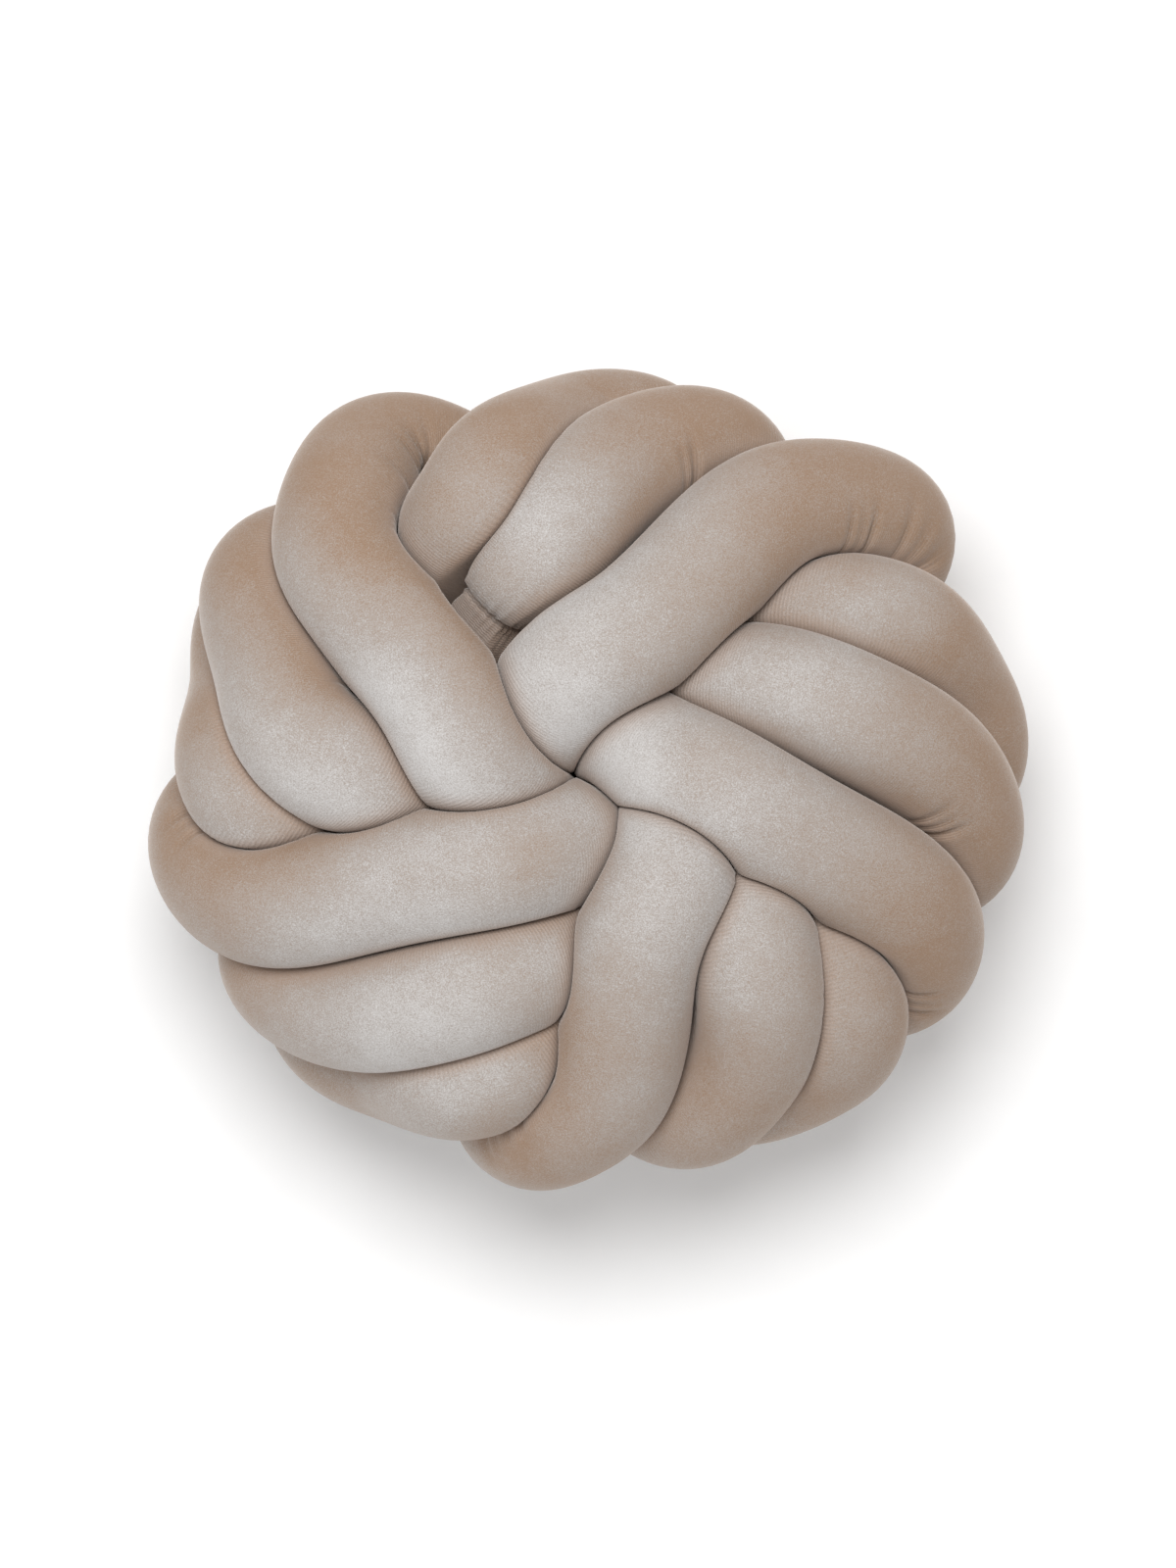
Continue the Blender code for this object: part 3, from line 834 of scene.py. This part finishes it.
def math_node(tree, operation, label, *values):
    """A Math node whose inputs are numbers or other nodes' outputs, in order."""
    node = add_node(tree, "ShaderNodeMath", label, operation=operation)
    feed(tree, node, dict(enumerate(values)))
    return node.outputs[0]


def colour_mix(tree, label, factor, first, second):
    """The first colour where the factor is 0, and the second where it is 1."""
    node = add_node(tree, "ShaderNodeMix", label, data_type="RGBA")
    feed(tree, node, {"Factor": factor, "A": first, "B": second})
    return node.outputs["Result"]


def noise(tree, label, scale, detail):
    """Soft patches that stay put on the piece, from 0 to 1."""
    place = add_node(tree, "ShaderNodeTexCoord", "place").outputs["Object"]
    node = add_node(tree, "ShaderNodeTexNoise", label)
    feed(tree, node, {"Vector": place, "Scale": scale, "Detail": detail})
    return node.outputs["Fac"]


def uneven(tree, label, patch):
    """A patch's noise, as far above nought as below it."""
    raw = noise(tree, label, patch.scale, patch.detail)
    return math_node(tree, "MULTIPLY_ADD", "even " + label, raw, patch.amount, -patch.amount / 2.0)


def pile_group():
    """Node group: short pile with cloudy mottling, pale and dark flecks, and fine ribs, over the nap's
    painted sheen and shade.
    """
    group = bpy.data.node_groups.new("pile", "ShaderNodeTree")
    for direction, names in (("INPUT", ("Nap_sheen", "Edge")), ("OUTPUT", ("Tint", "Fleck", "Relief"))):
        for name in names:
            group.interface.new_socket(name=name, in_out=direction, socket_type="NodeSocketFloat")
    start = group.nodes.new("NodeGroupInput")
    end = group.nodes.new("NodeGroupOutput")
    cloudy = uneven(group, "clouds", CLOUDS)
    mottled = uneven(group, "mottling", MOTTLING)
    shift = math_node(group, "ADD", "uneven pile", cloudy, mottled)
    speck = uneven(group, "flecks", FLECKS)
    tuft = uneven(group, "tufts", TUFTS)
    fleck = math_node(group, "ADD", "flecks and tufts", speck, tuft)
    lying = math_node(group, "ADD", "nap and unevenness", start.outputs["Nap_sheen"], shift)
    ribs = add_node(group, "ShaderNodeUVMap", "ribs", uv_map="ribs").outputs["UV"]
    parts = add_node(group, "ShaderNodeSeparateXYZ", "along")
    group.links.new(ribs, parts.inputs[0])
    turns = math_node(group, "MULTIPLY", "turns", parts.outputs["X"], 2.0 * math.pi)
    wave = math_node(group, "SINE", "rib", turns)
    seen = math_node(group, "MULTIPLY_ADD", "ribs seen", start.outputs["Edge"],
                     RIBS_IN_CREASE, RIBS_IN_OPEN)
    rib = math_node(group, "MULTIPLY", "soft rib", wave, seen)
    feed(group, end, {
        "Tint": math_node(group, "ADD", "pile", lying, fleck),
        "Fleck": math_node(group, "MULTIPLY_ADD", "flecked rib", rib, RIB_SHADE, fleck),
        "Relief": math_node(group, "ADD", "relief", rib, fleck),
    })
    return group


def velvet_material(finish):
    """Brown to silvery by the nap's painted sheen and shade, with a painted highlight where it stands
    up, and painted warm bounce light in the creases.
    """
    made, tree, shader = new_material("taupe_velvet")
    nap_sheen = add_node(tree, "ShaderNodeAttribute", "nap_sheen", attribute_name="nap_sheen").outputs["Fac"]
    edge = add_node(tree, "ShaderNodeAttribute", "edge", attribute_name="edge").outputs["Fac"]
    pile = add_node(tree, "ShaderNodeGroup", "pile", node_tree=pile_group())
    feed(tree, pile, {"Nap_sheen": nap_sheen, "Edge": edge})
    sheen_level = pile.outputs["Tint"]
    # painted sheen: brown to silvery by the nap
    silvery_sheen = colour_mix(tree, "silvery_sheen", sheen_level, opaque(finish.along), opaque(finish.sheen_colour))
    # painted highlight where the nap is highest
    upright_highlight = add_node(tree, "ShaderNodeMapRange", "upright pile")
    feed(tree, upright_highlight, {"Value": sheen_level, "From Min": HIGHLIGHT_NAP[0], "From Max": HIGHLIGHT_NAP[1]})
    highlighted = colour_mix(tree, "bright tips", upright_highlight.outputs["Result"], silvery_sheen,
                        opaque(finish.highlight_tips))
    # painted warm bounce light in the creases
    crease = math_node(tree, "POWER", "crease", edge, CREASE_NARROWING)
    painted_bounce = math_node(tree, "MULTIPLY", "painted_bounce", crease, CREASE_BOUNCE_LIGHT)
    bounce_lit = colour_mix(tree, "warm creases", painted_bounce, highlighted, opaque(finish.pressed))
    bright = math_node(tree, "MULTIPLY_ADD", "flecks", pile.outputs["Fleck"], FLECK_SHADE, 1.0)
    flecked = add_node(tree, "ShaderNodeVectorMath", "flecked", operation="SCALE")
    feed(tree, flecked, {0: bounce_lit, "Scale": bright})
    bump = add_node(tree, "ShaderNodeBump", "pile relief")
    feed(tree, bump, {
        "Height": pile.outputs["Relief"],
        "Strength": RELIEF_STRENGTH,
        "Distance": RELIEF_HEIGHT,
    })
    feed(tree, shader, {
        "Base Color": flecked.outputs[0],
        "Normal": bump.outputs["Normal"],
        "Roughness": 0.8,
        "Specular IOR Level": 0.25,
        "Sheen Weight": finish.sheen,
        "Sheen Roughness": 0.35,
        "Sheen Tint": (1.0, 0.95, 0.91, 1.0),
    })
    made.diffuse_color = opaque(finish.along)
    return made


def floor_material(colour):
    """Plain and pale, with a grain that is hardly seen."""
    made, tree, shader = new_material("pale_floor")
    grain = noise(tree, "grain", GRAIN_SCALE, GRAIN_DETAIL)
    darker = opaque(GRAIN_SHADE * part for part in colour)
    shade = colour_mix(tree, "faint grain", grain, darker, opaque(colour))
    feed(tree, shader, {"Base Color": shade, "Roughness": FLOOR_ROUGHNESS})
    return made


# ---------------------------------------------------------------- operators

def finished_piece(name, mesh, material):
    mesh.materials.clear()
    mesh.materials.append(material)
    mesh.shade_smooth()
    piece = bpy.data.objects.new(name, mesh)
    bpy.context.scene.collection.objects.link(piece)
    return piece


class CUSHION_OT_stuff_tubes(bpy.types.Operator):
    """Shape the three stuffed velvet tubes over their solids"""
    bl_idname = "cushion.stuff_tubes"
    bl_label = "Stuff the tubes"

    def execute(self, context):
        sizes = context.scene.knot_sizes
        cloth = context.scene.cloth_details
        finish = context.scene.velvet_finish
        paths = tube_paths(sizes)
        velvet = velvet_material(finish)
        for own, name in enumerate(TUBES):
            mesh = swept_tube(name, paths[own], sizes.tube_radius, BEVEL_RESOLUTION)
            places = np.empty(len(mesh.vertices) * 3, np.float32)
            mesh.vertices.foreach_get("co", places)
            tube = Tube(paths[own], places.reshape(RINGS, -1, 3).astype(float))
            press(tube, own, paths, sizes)
            crease_bends(tube, own, cloth, sizes)
            for row in PUCKERS:
                if row.tube == name:
                    pucker(tube, row, cloth)
            if name == JOIN_TUBE:
                gather_join(tube, cloth)
            rest_on_floor(tube)
            write_places(mesh, tube)
            write_ribs(mesh, tube, finish.rib)
            write_nap(mesh, tube)
            piece = finished_piece("velvet_" + name + "_tube", mesh, velvet)
            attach(piece, "root")
            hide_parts(name + "_tube")
        return {"FINISHED"}


def add_lamp(name, power, lamp):
    """A round soft lamp, turned to the cushion."""
    light = bpy.data.lights.new(name, "AREA")
    light.energy = power
    light.shape = "DISK"
    light.size = lamp.size
    carrier = bpy.data.objects.new(name, light)
    carrier.location = lamp.place
    carrier.rotation_euler = (-Vector(lamp.place)).to_track_quat("-Z", "Y").to_euler()
    bpy.context.scene.collection.objects.link(carrier)


class CUSHION_OT_set_stage(bpy.types.Operator):
    """Lay the pale floor, and set the lamps and the camera"""
    bl_idname = "cushion.set_stage"
    bl_label = "Set the stage"

    def execute(self, context):
        scene = context.scene
        stage = scene.stage_light
        mesh = bpy.data.meshes.new("floor")
        work = bmesh.new()
        bmesh.ops.create_grid(work, x_segments=1, y_segments=1, size=FLOOR_REACH)
        bmesh.ops.translate(work, verts=work.verts, vec=(0.0, 0.0, -FLOOR_DROP))
        work.to_mesh(mesh)
        work.free()
        floor = finished_piece("floor", mesh, floor_material(stage.floor))
        world = bpy.data.worlds.new("soft_sky")
        world.use_nodes = True
        sky = world.node_tree.nodes["Background"]
        feed(world.node_tree, sky, {"Color": (1.0, 1.0, 1.0, 1.0), "Strength": stage.sky})
        scene.world = world
        add_lamp("key", stage.key, KEY_LAMP)
        add_lamp("fill", stage.fill, FILL_LAMP)
        lens = bpy.data.cameras.new("camera")
        lens.sensor_width = SENSOR_WIDTH
        lens.lens = SENSOR_WIDTH * stage.distance / stage.view_height
        camera = bpy.data.objects.new("camera", lens)
        camera.location = (*CAMERA_PLACE, RIM_HEIGHT + stage.distance)
        scene.collection.objects.link(camera)
        scene.camera = camera
        scene.view_settings.view_transform = "Standard"
        return {"FINISHED"}


class CUSHION_PT_panel(bpy.types.Panel):
    """Lists the sizes, colours and steps in the sidebar"""
    bl_label = "Knot cushion"
    bl_idname = "CUSHION_PT_panel"
    bl_space_type = "VIEW_3D"
    bl_region_type = "UI"
    bl_category = "Cushion"

    def draw(self, context):
        for operator in OPERATORS:
            self.layout.operator(operator.bl_idname)
        for group in GROUPS:
            box = self.layout.box()
            values = getattr(context.scene, group)
            for name in GROUPS[group].__annotations__:
                box.prop(values, name)


GROUPS = {
    "knot_sizes": KnotSizes,
    "cloth_details": ClothDetails,
    "velvet_finish": VelvetFinish,
    "stage_light": StageLight,
}
OPERATORS = (CUSHION_OT_stuff_tubes, CUSHION_OT_set_stage)


def register():
    for kind in (*GROUPS.values(), *OPERATORS, CUSHION_PT_panel):
        bpy.utils.register_class(kind)
    for name, kind in GROUPS.items():
        setattr(bpy.types.Scene, name, PointerProperty(type=kind))


def unregister():
    for name in GROUPS:
        delattr(bpy.types.Scene, name)
    for kind in (CUSHION_PT_panel, *reversed(OPERATORS), *reversed(GROUPS.values())):
        bpy.utils.unregister_class(kind)


def main():
    register()
    bpy.ops.cushion.stuff_tubes()
    bpy.ops.cushion.set_stage()


if __name__ == "__main__":
    main()
